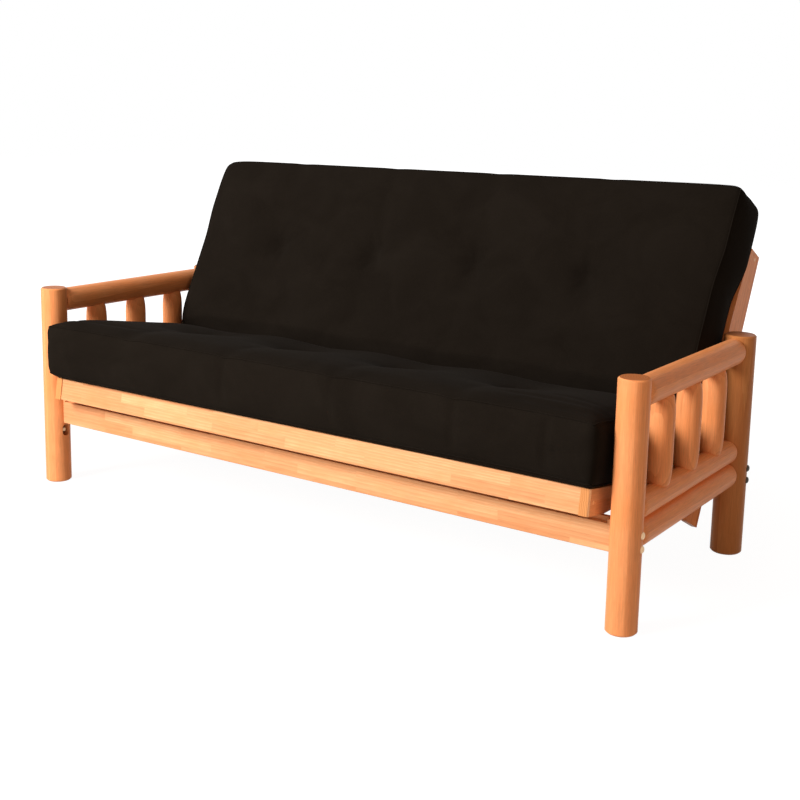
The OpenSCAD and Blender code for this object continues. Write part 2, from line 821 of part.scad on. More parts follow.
// Rings in space, dir -1 for the seat and 1 for the back, with the sides drawn in between the corners
function rings(reach, dir) = [for (st = stations) [for (p = ring_uz(st[0], st[1], reach))
    let (mid = (reach + mitre * p[1]) / 2, f = 1 - pow((p[0] - mid) / (reach - mid), 2))
    [st[0] * (1 - draw_in / mattress_half * pow(abs(st[0]) / mattress_half, 6) * max(f, 0)),
     dir * p[0], p[1]]]];
function seat_rings() = rings(mattress_front, -1);
function sofa_seat_y(p) = hinge_y + p[1] * cos(seat_tilt) + p[2] * sin(seat_tilt);

// Depth from front to back, so that the sofa is centred over its origin
depth_front = min([for (ring = seat_rings()) for (p = ring) sofa_seat_y(p)]);
depth_back = hinge_y + back_reach * cos(back_rise) + stile_back * sin(back_rise);
y_mid = (depth_front + depth_back) / 2;

// A closed skin over rings of equal length; dir tells which way round they run
module skin(r, dir) {
    n = len(r[0]);
    m = len(r);
    quads = concat(
        [for (j = [0:m - 2], i = [0:n - 1], k = [(i + 1) % n])
            each [[j * n + i, j * n + k, (j + 1) * n + k], [j * n + i, (j + 1) * n + k, (j + 1) * n + i]]],
        [for (i = [1:n - 2]) [0, i + 1, i]],
        [for (i = [1:n - 2]) [(m - 1) * n, (m - 1) * n + i, (m - 1) * n + i + 1]]
    );
    polyhedron(
        points = [for (ring = r) each ring],
        faces = dir > 0 ? quads : [for (f = quads) [f[0], f[2], f[1]]]
    );
}

// The foam filling of a half, in the level deck's side view
module filling(reach, dir) {
    z0 = bed_z + cover_t / 2;
    z1 = bed_z + mattress_t - tuft_depth - cover_t / 2;
    u1 = reach - draw_in - cover_t;
    half = mattress_half - draw_in - cover_t;
    across_x(-half, half) polygon([
        [dir * (mitre * z0 + cover_t), z0], [dir * u1, z0],
        [dir * u1, z1], [dir * (mitre * z1 + cover_t), z1]
    ]);
}

module seat_mattress() {
    color(suede) on_seat() difference() {
        skin(seat_rings(), -1);
        filling(mattress_front, -1);
    }
}

module seat_filling() {
    color(foam) on_seat() filling(mattress_front, -1);
}

module back_mattress() {
    color(suede) on_back() difference() {
        skin(rings(mattress_back, 1), 1);
        filling(mattress_back, 1);
    }
}

module back_filling() {
    color(foam) on_back() filling(mattress_back, 1);
}

front_post(-1);  // left_front_post
front_post(1);  // right_front_post
rear_post(-1);  // left_rear_post
rear_post(1);  // right_rear_post
top_rail(-1);  // left_top_rail
top_rail(1);  // right_top_rail
middle_rail(-1);  // left_middle_rail
middle_rail(1);  // right_middle_rail
lower_rail(-1);  // left_lower_rail
lower_rail(1);  // right_lower_rail
spindle(-1, 1);  // left_spindle_1
spindle(-1, 2);  // left_spindle_2
spindle(-1, 3);  // left_spindle_3
spindle(1, 1);  // right_spindle_1
spindle(1, 2);  // right_spindle_2
spindle(1, 3);  // right_spindle_3
track(-1);  // left_track
track(1);  // right_track
track_screws();
front_stretcher();
rear_stretcher();
stretcher_bolts();
barrel_nuts();
post_bolts();
seat_front_rail();
seat_rear_rail();
seat_rail(-1);  // left_seat_rail
seat_rail(1);  // right_seat_rail
seat_slat(1);  // seat_slat_1
seat_slat(2);  // seat_slat_2
seat_slat(3);  // seat_slat_3
seat_slat(4);  // seat_slat_4
seat_slat(5);  // seat_slat_5
seat_slat(6);  // seat_slat_6
seat_slat(7);  // seat_slat_7
seat_slat(8);  // seat_slat_8
seat_frame_screws();
seat_slat_screws();
back_top_rail();
back_bottom_rail();
stile(-1);  // left_stile
stile(1);  // right_stile
back_slat(1);  // back_slat_1
back_slat(2);  // back_slat_2
back_slat(3);  // back_slat_3
back_slat(4);  // back_slat_4
back_slat(5);  // back_slat_5
back_slat(6);  // back_slat_6
back_slat(7);  // back_slat_7
back_slat(8);  // back_slat_8
back_frame_screws();
back_slat_screws();
hinge_bolt(-1);  // left_hinge_bolt
hinge_bolt(1);  // right_hinge_bolt
roller(-1);  // left_roller
roller(1);  // right_roller
seat_mattress();
seat_filling();
back_mattress();
back_filling();
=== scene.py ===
# %% [markdown]
# # A log-arm futon sofa
#
# The frame of this sofa comes from a CAD model: peeled pine logs for the arms, two stretchers, and
# two slatted decks that fold open into a bed. This script gives every part of it a finish, makes
# the suede mattress that bends over both decks, and sets up the light and the camera.
#
# The frame is loaded first, because everything else is placed on it. Lengths are in metres, with
# +X to the right, +Y towards the back and +Z up.

# %% Load the frame
import json
import math

import bmesh
import bpy
import numpy as np
from mathutils import Matrix, Vector


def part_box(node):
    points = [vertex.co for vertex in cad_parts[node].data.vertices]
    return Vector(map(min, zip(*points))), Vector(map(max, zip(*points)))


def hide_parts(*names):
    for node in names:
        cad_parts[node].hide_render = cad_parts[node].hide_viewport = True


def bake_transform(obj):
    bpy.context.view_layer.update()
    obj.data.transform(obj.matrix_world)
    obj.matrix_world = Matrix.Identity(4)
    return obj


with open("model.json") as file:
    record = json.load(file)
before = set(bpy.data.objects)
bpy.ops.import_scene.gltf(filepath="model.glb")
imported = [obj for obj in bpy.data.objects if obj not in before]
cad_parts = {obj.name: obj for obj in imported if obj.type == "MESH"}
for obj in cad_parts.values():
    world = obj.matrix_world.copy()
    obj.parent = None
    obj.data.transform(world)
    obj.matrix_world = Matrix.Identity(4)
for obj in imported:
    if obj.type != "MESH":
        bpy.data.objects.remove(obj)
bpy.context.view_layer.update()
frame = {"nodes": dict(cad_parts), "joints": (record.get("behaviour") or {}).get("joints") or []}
nodes = frame["nodes"]
mm = 0.001

# %% [markdown]
# ## Small helpers for materials
#
# A shader works with linear light, while a colour picked from a picture is an sRGB hex code, so one
# function turns the one into the other. The others add a node, set its properties and fill its
# sockets, either with a value or with a link from another node. The kinds of nodes that are used
# most often have a function each, which returns the node's output.

# %% Helpers for materials
def linear(code):
    """The linear RGBA of an sRGB hex colour."""
    srgb = [int(code[i:i + 2], 16) / 255 for i in (1, 3, 5)]
    return (*[c / 12.92 if c <= 0.04045 else ((c + 0.055) / 1.055) ** 2.4 for c in srgb], 1)


def fill(tree, node, sockets):
    """Gives each socket of a node its value, or the output that feeds it."""
    for key, value in sockets.items():
        if isinstance(value, bpy.types.NodeSocket):
            tree.links.new(value, node.inputs[key])
        else:
            node.inputs[key].default_value = value


def add(tree, kind, sockets={}, **settings):
    """A new node with its properties and sockets."""
    node = tree.nodes.new("ShaderNode" + kind)
    for key, value in settings.items():
        setattr(node, key, value)
    fill(tree, node, sockets)
    return node


def mixed(tree, share, one, other, **settings):
    """Two colours mixed by a share. The colour sockets of a Mix node are 6, 7 and, as output, 2."""
    return add(tree, "Mix", {0: share, 6: one, 7: other}, data_type="RGBA", **settings).outputs[2]


def times(tree, colour, factor):
    """A colour multiplied by a grey value or by another colour."""
    return mixed(tree, 1.0, colour, factor, blend_type="MULTIPLY")


def ranged(tree, value, before, after, **settings):
    """A value moved from one range to another, and kept inside it."""
    return add(tree, "MapRange", {
        "Value": value, "From Min": before[0], "From Max": before[1],
        "To Min": after[0], "To Max": after[1]}, **settings).outputs[0]


def noise(tree, place, scale, detail, roughness=0.5, distortion=0.0):
    """The grey value of a noise texture."""
    return add(tree, "TexNoise", {
        "Vector": place, "Scale": scale, "Detail": detail, "Roughness": roughness,
        "Distortion": distortion}).outputs["Fac"]


def material(name):
    """A new material with its node tree and its Principled shader."""
    made = bpy.data.materials.new(name)
    made.use_nodes = True
    return made, made.node_tree, made.node_tree.nodes["Principled BSDF"]


def finish_nodes(made, *names):
    """Gives a material to CAD nodes."""
    for name in names:
        nodes[name].data.materials.clear()
        nodes[name].data.materials.append(made)


# %% [markdown]
# ## Where the decks turn
#
# Both decks share one hinge line. As a sofa the seat deck tilts back a little and the back deck
# leans. The mattress has to bend exactly there, so the line and the angles are read from the
# joints of the frame.

# %% Hinge line and deck angles
joints = {joint["name"]: joint for joint in frame["joints"]}
hinge = Vector(joints["back_fold"]["pos_m"])
seat_tilt = math.radians(joints["seat_level"]["range_deg"][1])
fold = math.radians(-joints["back_fold"]["range_deg"][0])
back_rise = fold - seat_tilt
print(f"seat tilt {math.degrees(seat_tilt):.1f}, back rise {math.degrees(back_rise):.1f} degrees")

# %% [markdown]
# ## Pine, clear lacquered
#
# Pine is pale orange wood with soft early growth and harder, darker late growth in each year's
# ring. A lathe and a drawknife follow the log, so its surface shows long, slow streaks where the
# rings run out, and round rings only on the sawn ends, which drink more lacquer and go brown.
#
# The rings are a Wave texture about a pith that lies a little off the log's middle and leans by a
# degree or two. The boards of the decks and stretchers are glued up from short staves, so there a
# Brick texture picks a tone for each stave and shifts the rings from one to the next. Fine fibres
# and streaks are noise that is stretched along the grain, and broad blotches are plain noise.

# %% Pine material
RING_WAVE = 2 * math.pi / 20     # length of one wave of Blender's Wave texture at scale 1
LOG_PINE = {"early": linear("#FBAF78"), "late": linear("#C5652F"), "blotch": linear("#F69E60"),
            "end": linear("#CE8248"), "end_ring": linear("#9C582C")}
# A darker copy of the log pine for the rear posts, which is painted shade
PAINTED_SHADE_PINE = {"early": linear("#CC8E58"), "late": linear("#A04E20"), "blotch": linear("#C67E46"),
             "end": linear("#B07040"), "end_ring": linear("#884A24")}
STAVE_PINE = {"early": linear("#EEBE90"), "late": linear("#D4905E"), "blotch": linear("#E6A876"),
              "end": linear("#E3A46C"), "end_ring": linear("#C88750")}
RAW_PINE = {"early": linear("#E9C08E"), "late": linear("#CF9A63"), "blotch": linear("#DDAE77"),
            "end": linear("#C99A66"), "end_ring": linear("#A87744")}
KNOT_AND_SHADE = linear("#4A2410")
PALE_STAVE, DARK_STAVE = (1.05, 1.06, 1.07, 1), (0.92, 0.78, 0.73, 1)     # factors on the wood's colour
STAVE_HOP = (0.9, 0.13, 0.08)             # how far the rings shift between the palest and darkest stave, m
ALONG_GRAIN = 0.06                        # scale of the figure along the grain, against 1 across it


def pine(name, centre, grain, turn=0.0, ring=5.0, pith=(0, 0, 0), lean=(0, 0, 0), staves=None,
         colours=STAVE_PINE, knots_and_shade_spots=(), coat=0.04, contrast=0.75):
    """Pine with its grain along axis X, Y or Z of a deck that is turned about X."""
    made, tree, shader = material(name)
    axis = "XYZ".index(grain)
    place = add(tree, "TexCoord")
    moved = add(tree, "VectorMath", {0: place.outputs["Object"], 1: centre}, operation="SUBTRACT")
    level = add(tree, "Mapping", {"Vector": moved.outputs[0], "Rotation": (-turn, 0, 0)})
    where = level.outputs[0]
    if staves:
        length, height, across = staves
        split = add(tree, "SeparateXYZ", {0: where})
        face = add(tree, "CombineXYZ", {
            "X": split.outputs[axis], "Y": split.outputs["XYZ".index(across)]})
        bricks = add(tree, "TexBrick", {
            "Vector": face.outputs[0], "Color1": (0, 0, 0, 1), "Color2": (1, 1, 1, 1),
            "Mortar": (0.35, 0.35, 0.35, 1), "Scale": 1, "Mortar Size": 0.4 * mm,
            "Mortar Smooth": 0, "Brick Width": length, "Row Height": height},
            offset=0.37, offset_frequency=2)
        tone = bricks.outputs["Color"]
        hop = add(tree, "VectorMath", {0: tone, 1: STAVE_HOP}, operation="MULTIPLY")
        where = add(tree, "VectorMath", {0: where, 1: hop.outputs[0]}).outputs[0]
    # The wobble of the rings is much longer along the grain than across it
    scale = [1, 1, 1]
    scale[axis] = ALONG_GRAIN
    figure = add(tree, "Mapping", {
        "Vector": where, "Location": pith, "Rotation": lean, "Scale": scale}).outputs[0]
    rings = add(tree, "TexWave", {
        "Vector": figure, "Scale": RING_WAVE / (ring * mm), "Distortion": 5.0, "Detail": 3,
        "Detail Scale": 0.25, "Detail Roughness": 0.55},
        wave_type="RINGS", rings_direction=grain, wave_profile="SAW").outputs["Fac"]
    fibres = noise(tree, figure, 330, 4, 0.65)
    streaks = noise(tree, figure, 55, 3, 0.5)
    blotches = noise(tree, where, 9, 3, 0.55)
    # Late growth takes the dark colour, more in some streaks than in others
    late = add(tree, "Math", {0: rings, 1: streaks}, operation="MULTIPLY")
    late = add(tree, "Math", {0: late.outputs[0], 1: contrast}, operation="MULTIPLY", use_clamp=True)
    wood = mixed(tree, late.outputs[0], colours["early"], colours["late"])
    patch = ranged(tree, blotches, (0.4, 0.72), (0, 0.65))
    wood = mixed(tree, patch, wood, colours["blotch"])
    wood = times(tree, wood, ranged(tree, fibres, (0.3, 0.7), (0.86, 1.08)))
    if staves:
        wood = times(tree, wood, mixed(tree, tone, PALE_STAVE, DARK_STAVE))
    # A knot is a dark branch that the saw or knife has cut across, with a ragged rim. The same dark
    # spots also paint shade into the recesses of the front posts.
    for at, size in knots_and_shade_spots:
        near = add(tree, "VectorMath", {0: place.outputs["Object"], 1: at}, operation="DISTANCE")
        ragged = add(tree, "Math", {0: streaks, 1: 0.012, 2: near.outputs["Value"]},
                     operation="MULTIPLY_ADD")
        knot_and_shade_core = ranged(tree, ragged.outputs[0], (1.7 * size * mm, 0.9 * size * mm), (0, 0.85))
        wood = mixed(tree, knot_and_shade_core, wood, KNOT_AND_SHADE)
    # Sawn ends face along the grain
    facing = add(tree, "Mapping", {"Vector": place.outputs["Normal"], "Rotation": (-turn, 0, 0)})
    facing = add(tree, "SeparateXYZ", {0: facing.outputs[0]})
    end = add(tree, "Math", {0: facing.outputs[axis]}, operation="ABSOLUTE")
    end = ranged(tree, end.outputs[0], (0.8, 0.95), (0, 1))
    wood = mixed(tree, end, wood, mixed(tree, rings, colours["end"], colours["end_ring"]))
    relief = add(tree, "Bump", {"Strength": 0.35, "Distance": 0.4 * mm, "Height": fibres})
    fill(tree, shader, {
        "Base Color": wood, "Roughness": ranged(tree, fibres, (0, 1), (0.36, 0.52)),
        "Normal": relief.outputs[0], "IOR": 1.5, "Coat Weight": coat, "Coat Roughness": 0.3,
        "Specular IOR Level": 0.1})
    return made


def middle(name):
    """The middle of a node's box."""
    low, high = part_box(name)
    return (low + high) / 2


# %% [markdown]
# ## Logs of the arms
#
# Each log gets its own material, since no two logs have the pith in the same place. The offsets
# come from a seeded random draw, so that every run gives the same wood. The rear posts get a darker
# copy of the pine, which is painted shade. The rear right post has a small knot on the side that
# faces the front, and the recesses of the front posts are darkened with painted shade, drawn as a
# row of large dark knot spots.

# %% Logs
draw = np.random.default_rng(11)
log_grain = {"post": "Z", "spindle": "Z", "rail": "Y"}
small_knot = ((1.048, 0.2175, 0.43), 8)   # place in m, and size in mm
recess = 14                               # depth of the recess round each post bolt's head, mm
recess_shade_spot = 12                                # size and distance of the painted shade's spots in the front posts' recesses, mm
logs = [name for name in nodes if name.endswith(("_post", "top_rail", "middle_rail", "lower_rail"))
        and not name.startswith("back") or "spindle" in name]
for name in logs:
    grain = next(axis for kind, axis in log_grain.items() if kind in name)
    off = draw.uniform(-14, 14, 3) * mm
    lean = draw.uniform(-0.035, 0.035, 3)
    knots_and_shade_spots = []
    if name == "right_rear_post":
        knots_and_shade_spots = [small_knot]
    # Painted shade in the front posts' recesses: three dark spots of the knot colour, one above the other
    if name.endswith("front_post"):
        low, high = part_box(name)
        inside = low.x + recess * mm if low.x > 0 else high.x - recess * mm
        spot = middle("post_bolts")
        knots_and_shade_spots = [((inside, spot.y, spot.z + rise * mm), recess_shade_spot) for rise in (-recess_shade_spot, 0, recess_shade_spot)]
    # The rear posts take the darker copy of the pine, which paints the shade they stand in
    finish_nodes(pine(
        "lacquered_pine_" + name, middle(name), grain, ring=draw.uniform(5, 7.5), pith=off,
        lean=lean, colours=PAINTED_SHADE_PINE if "rear" in name else LOG_PINE, knots_and_shade_spots=knots_and_shade_spots, contrast=0.6),
        name)
print(len(logs), "logs")

# %% [markdown]
# ## Boards of the stretchers and decks
#
# The boards are edge-glued staves, 27 to 35 mm high and about 300 mm long, sanded flush and
# lacquered. The slats and the tracks stay raw: nobody sees them on the made-up sofa, but they show
# from behind and from below.

# %% Boards
board_turn = {"stretcher": 0.0, "seat": -seat_tilt, "back": back_rise, "stile": back_rise}


def turn_of(name):
    """How far the deck of a board is turned about X."""
    return next(angle for kind, angle in board_turn.items() if kind in name)


for name in ["front_stretcher", "rear_stretcher", "seat_front_rail", "seat_rear_rail",
             "back_top_rail", "back_bottom_rail"]:
    finish_nodes(pine(
        "stave_pine_" + name, middle(name), "X", turn=turn_of(name), ring=6,
        pith=(0, 0.05, draw.uniform(0.03, 0.06)), lean=(0, 0, 0.02),
        staves=(draw.uniform(0.27, 0.34), 26.5 * mm, "Z"), contrast=0.95), name)
for name in ["left_seat_rail", "right_seat_rail", "left_stile", "right_stile"]:
    finish_nodes(pine(
        "stave_pine_" + name, middle(name), "Y", turn=turn_of(name), ring=6,
        pith=(0.05, 0, draw.uniform(0.03, 0.06)), lean=(0, 0, 0.02), staves=(0.31, 35 * mm, "Z"),
        contrast=0.7, colours=LOG_PINE if "stile" in name else STAVE_PINE), name)
for kind in ("seat", "back"):
    finish_nodes(pine(
        f"raw_pine_{kind}_slats", middle(f"{kind}_slat_4"), "Y", turn=board_turn[kind], ring=5,
        pith=(0, 0, 0.05), lean=(0.02, 0, 0), colours=RAW_PINE, coat=0.0),
        *[f"{kind}_slat_{i}" for i in range(1, 9)])
finish_nodes(pine("raw_pine_tracks", middle("left_track"), "Y", ring=5, pith=(0.04, 0, 0.03),
                  colours=RAW_PINE, coat=0.0), "left_track", "right_track")

# %% [markdown]
# ## Steel and nylon
#
# The bolts that pull the stretchers against the posts have a tan antique bronze plating, and the
# rear pair is darkened to nearly black with painted shade. The wood screws are brassy. Plating wears
# a little, so noise moves both the colour and the roughness. The rollers are turned nylon, milky white.

# %% Hardware
def plated(name, dark, light, rough, rear_painted_shade=1.0, metal=1.0):
    """Plated steel with worn spots, and painted shade that darkens its colour at the rear by a share."""
    made, tree, shader = material(name)
    place = add(tree, "TexCoord").outputs["Object"]
    worn = noise(tree, place, 45, 5, 0.6)
    colour = mixed(tree, worn, linear(dark), linear(light))
    # Painted shade: the colour darkens towards the rear, from Y -0.1 to 0.1 m
    rear = add(tree, "SeparateXYZ", {0: place})
    rear = ranged(tree, rear.outputs["Y"], (-0.1, 0.1), (1.0, rear_painted_shade))
    gloss = ranged(tree, worn, (0, 1), (rough - 0.08, rough + 0.12))
    fill(tree, shader, {
        "Base Color": times(tree, colour, rear), "Roughness": gloss, "Metallic": metal})
    return made


bronze = plated("antique_bronze_plated_steel", "#DDB484", "#F8DCB6", 0.4, rear_painted_shade=0.04, metal=0.5)
brass = plated("brass_plated_steel", "#FFC88A", "#FFE2BA", 0.42, metal=0.1)
zinc = plated("zinc_plated_steel", "#8C8C88", "#C2C2BC", 0.34)
finish_nodes(bronze, "stretcher_bolts", "post_bolts")
finish_nodes(brass, "seat_frame_screws", "back_frame_screws")
finish_nodes(zinc, "seat_slat_screws", "back_slat_screws", "track_screws", "barrel_nuts",
             "left_hinge_bolt", "right_hinge_bolt")

nylon, tree, shader = material("turned_nylon")
cloud = noise(tree, add(tree, "TexCoord").outputs["Object"], 120, 3)
fill(tree, shader, {
    "Base Color": mixed(tree, cloud, linear("#DEDACE"), linear("#F1EEE6")),
    "Roughness": ranged(tree, cloud, (0, 1), (0.38, 0.55))})
finish_nodes(nylon, "left_roller", "right_roller")

# %% [markdown]
# ## The mattress, sewn flat
#
# A futon mattress is one pad, about 17 cm thick: a cover of black microsuede over cotton and foam.
# It is sewn and stuffed flat and bends over the hinge line afterwards, and it is made the same way
# here. A cube is cut into a grid of about 18 mm and stretched to the pad's size, in such a way that
# grid lines run through the four columns of tufts and along the fold.

# %% The pad's sizes
half_w = 964 * mm
front, back = 698 * mm, 822 * mm          # from the hinge line to the two ends
thick = 176 * mm
deck = 36.3 * mm                          # height of the pad's underside over the hinge line
columns = np.array([-606, -218, 170, 558]) * mm     # of tufts, along X
row_in = 318 * mm                         # distance of a row of tufts from the pad's end
rows = np.array([-front + row_in, back - row_in])
SAME = 1e-5                               # places nearer than this are the same, in metres
# Per axis the stops, and which of the grid's lines runs through each of them
grid_x = ([-half_w, *columns, half_w], [0, 20, 42, 64, 86, 108])
grid_s = ([-front, rows[0], 0, rows[1], back], [0, 18, 39, 67, 85])
grid_h = ([0, thick], [0, 8])


def smooth(t):
    """Rises softly from 0 at 0 to 1 at 1."""
    t = np.clip(t, 0, 1)
    return t * t * (3 - 2 * t)


# %% A cube cut into a grid
bm = bmesh.new()
bmesh.ops.create_cube(bm, size=1)
for axis, (stops, index) in enumerate((grid_x, grid_s, grid_h)):
    along = [e for e in bm.edges if abs((e.verts[0].co - e.verts[1].co).normalized()[axis]) > 0.9]
    bmesh.ops.subdivide_edges(bm, edges=along, cuts=index[-1] - 1, use_grid_fill=True)
cover_mesh = bpy.data.meshes.new("mattress_cover")
bm.to_mesh(cover_mesh)
bm.free()
cover = bpy.data.objects.new("mattress_cover", cover_mesh)
bpy.context.scene.collection.objects.link(cover)


def vectors(items, key):
    """A vector property of a mesh's items, one row each."""
    values = np.empty(len(items) * 3, np.float32)
    items.foreach_get(key, values)
    return values.reshape(-1, 3).astype(float)


def set_points(mesh, co):
    """Moves a mesh's vertices to new places."""
    mesh.vertices.foreach_set("co", co.astype(np.float32).ravel())
    mesh.update()


co = vectors(cover_mesh.vertices, "co") + 0.5
for axis, (stops, index) in enumerate((grid_x, grid_s, grid_h)):
    co[:, axis] = np.interp(co[:, axis] * index[-1], index, stops)
flat = co.copy()
pattern = cover_mesh.attributes.new("pad", "FLOAT_VECTOR", "POINT")
pattern.data.foreach_set("vector", flat.astype(np.float32).ravel())
print(len(cover_mesh.vertices), "vertices,", len(cover_mesh.polygons), "quads")

# %% [markdown]
# ## How the pad has settled
#
# The corners of a stuffed pad are round, and a pad that has lain on its decks for a while isn't a
# plain box any more. Its front hangs upright although the deck under it tilts, its lower edge curls
# up here and there, and its back spreads above the arms and hangs a little lower at the left.

# %% Rounded and settled edges
upper_round, lower_round = 30 * mm, 24 * mm         # radius of the pad's edges
ends_in = 7 * mm                          # the left and right ends, inwards, midway along the pad
front_in, back_in = 7, 1                  # the pad's front and back edges, inwards, midway across, mm
front_over = 27                           # the front's upper edge, forwards, mm
foot_in, top_out = 6, 2                   # the seat's ends, at the deck and at the top, mm
ear = 6                                   # the front corners, outwards and forwards, mm
ear_droop = 7 * mm                        # the front's upper corners, downwards
# How far the front's lower edge curls up, and where along X, mm
curl_x = [-965, -900, -820, -300, 0, 300, 500, 750, 850, 965]
curl_up = [9, 2, 0, 0, 3, 7, 11, 12, 10, 6]
spread_start, spread_length = 0.5, 0.14   # where the back begins to spread, in metres past the fold
spread_rear, spread_front = 22, 9         # the back's ends, at its rear and front side, outwards, mm
right_up = 15 * mm                        # the back's top edge, at the right up and at the left down


def rounded(co):
    """Rounds the box's edges about an inner box, and draws its sides in between the corners."""
    radius = np.where(co[:, 2] > thick / 2, upper_round, lower_round)[:, None]
    low = np.array([-half_w, -front, 0]) + radius
    high = np.array([half_w, back, thick]) - radius
    inner = np.clip(co, low, high)
    out = co - inner
    length = np.linalg.norm(out, axis=1, keepdims=True)
    co = np.where(length > 1e-9, inner + out / np.maximum(length, 1e-9) * radius, co)
    centre_s, half_s = (back - front) / 2, (back + front) / 2
    across, along = co[:, 0] / half_w, (co[:, 1] - centre_s) / half_s
    co[:, 0] -= ends_in * across ** 7 * (1 - along ** 2)
    mean, half = (front_in + back_in) / 2, (front_in - back_in) / 2
    co[:, 1] -= (mean - half * along) * mm * along ** 7 * (1 - across ** 2)
    return co, across, along


def settled(co, across, along):
    """Leans, curls and spreads the pad's edges."""
    x, s, h = co.T.copy()
    high = np.clip(h / thick, 0, 1)
    # The seat, from midway along it to its front edge
    ahead = smooth((-s / front - 0.5) * 2)
    corner = abs(across) ** 20 * abs(along) ** 20
    ends = ((foot_in + top_out) * high - foot_in) * abs(across) ** 8
    co[:, 0] += (ear * corner + ends) * np.sign(across) * mm * ahead
    co[:, 1] -= (front_over * high + ear * corner) * mm * ahead
    co[:, 2] -= ear_droop * corner * high * ahead
    # The curl is in the last twentieth of the seat only
    curl = np.interp(x / mm, curl_x, curl_up)
    co[:, 2] += curl * mm * (1 - high) * smooth((-s / front - 0.95) / 0.05)
    # The back, most at its rear side and round its upper corners
    spread = smooth((s - spread_start) / spread_length)
    top_end = np.where(along > 0, abs(along) ** 24, 0)
    co[:, 0] += (spread_rear - (spread_rear - spread_front) * high) * mm * across * spread
    co[:, 1] += right_up * across * smooth(s / back)
    # The back's top edge narrows at its rear side, and its left corner moves in and down the most
    co[:, 0] += ((13 - 9 * across) * abs(across) ** 4 - 16 * (1 - high) * across) * mm * top_end
    co[:, 1] -= (12 - 5 * across) * mm * abs(across) ** 20 * top_end
    return co


# %% [markdown]
# ## Tufts and stuffing
#
# A tuft is a loop of twine through the whole pad, which pulls both sides together and leaves a
# dimple with a shallow valley along its column. Stuffing then pushes the cover out everywhere
# else. Blender's cloth simulation does that with air pressure: the tufts, the fold, the seams and
# the underside are pinned, the rest swells for twenty frames, and no point may go further than a
# cap, because a real cover is also held by the wadding behind it. The narrow sides swell less.

# %% Pulled tufts
tuft_depth, tuft_reach = 30 * mm, 40 * mm
valley_depth, valley_reach = 5 * mm, 26 * mm        # along each column of tufts
fold_depth, fold_reach = 12 * mm, 45 * mm
tufts = np.array([(x, s) for x in columns for s in (rows[0], 0, rows[1])])
co = settled(*rounded(flat))
gap = np.linalg.norm(flat[:, None, :2] - tufts[None], axis=2)
dip = (tuft_depth * np.exp(-(gap / tuft_reach) ** 2)).sum(1)
dip += (valley_depth * np.exp(-((flat[:, None, 0] - columns) / valley_reach) ** 2)).sum(1)
dip += fold_depth * np.exp(-(flat[:, 1] / fold_reach) ** 2)
co[:, 2] -= dip * smooth((flat[:, 2] - 0.75 * thick) / (0.25 * thick))
set_points(cover_mesh, co)

# %% Stuffing with cloth simulation
cap_side, cap_top = 9, 17                 # how far the sides and the top may swell, mm
frames = 20


def on_side(x, s):
    """Whether a place of the flat pad is on one of its narrow sides."""
    return (abs(abs(x) - half_w) < SAME) | (abs(s + front) < SAME) | (abs(s - back) < SAME)


upper = flat[:, 2] > 0.9 * thick
side = on_side(flat[:, 0], flat[:, 1])
held = (flat[:, 2] < 0.06 * thick) | ((gap.min(1) < 10 * mm) & upper)
held |= (abs(flat[:, 1]) < 1 * mm) & upper
held |= side & (flat[:, 2] > thick - SAME)
pins = cover.vertex_groups.new(name="held")
pins.add([int(i) for i in np.flatnonzero(held)], 1.0, "REPLACE")
swell_cap = np.where(side, cap_side, cap_top)[:, None] * mm
stuffing = cover.modifiers.new("stuffing", "CLOTH")
stuffing.settings.vertex_group_mass = "held"
stuffing.settings.use_pressure = True
stuffing.settings.uniform_pressure_force = 4
stuffing.settings.effector_weights.gravity = 0
stuffing.point_cache.frame_start, stuffing.point_cache.frame_end = 1, frames
for number in range(1, frames + 1):
    bpy.context.scene.frame_set(number)
swollen = cover.evaluated_get(bpy.context.evaluated_depsgraph_get())
move = vectors(swollen.data.vertices, "co") - co
cover.modifiers.remove(stuffing)
bpy.context.scene.frame_set(1)
far = np.linalg.norm(move, axis=1, keepdims=True)
print(f"the cover swells by up to {far.max() / mm:.1f} mm, on average {far.mean() / mm:.1f} mm")
co += move * np.minimum(1, swell_cap / np.maximum(far, 1e-9))
set_points(cover_mesh, co)
cover.vertex_groups.clear()

# %% One subdivision
finer = cover.modifiers.new("finer", "SUBSURF")
finer.levels = finer.render_levels = 1
made = bpy.data.meshes.new_from_object(cover.evaluated_get(bpy.context.evaluated_depsgraph_get()))
cover.modifiers.remove(finer)
cover.data = made
cover_mesh = made
print(len(cover_mesh.polygons), "quads after one subdivision")

# %% [markdown]
# ## Puckers and creases
#
# Beside the fold the stuffing is pushed up into a low roll between the columns of tufts, and the
# seat is plump up to its edges. Cloth that is pulled into a tuft gathers in small folds that point
# at it, and cloth that is bent or sat on keeps soft creases. They are drawn as shallow moves along
# the surface's own direction, none narrower than about 20 mm, since the grid can't hold finer ones.
# The rest is left to the bump of the material.

# %% Small folds
flat = vectors(cover_mesh.attributes["pad"].data, "vector")
out = vectors(cover_mesh.vertices, "normal")
co = vectors(cover_mesh.vertices, "co")
top = smooth((flat[:, 2] - 0.8 * thick) / (0.2 * thick))
x, s, _ = flat.T
spacing = 388 * mm                        # of the columns
plump = 9 * mm                            # the seat's top, upwards, away from its edges
pucker = 2.6 * mm                         # the height of the folds round each tuft
# 1 midway between two columns of tufts and 0 at a column, and 0 beyond the outer columns
between = 0.5 - 0.5 * np.cos(2 * math.pi * (x - columns[-1]) / spacing)
between = np.where(abs(x + 24 * mm) < 582 * mm, between, 0)
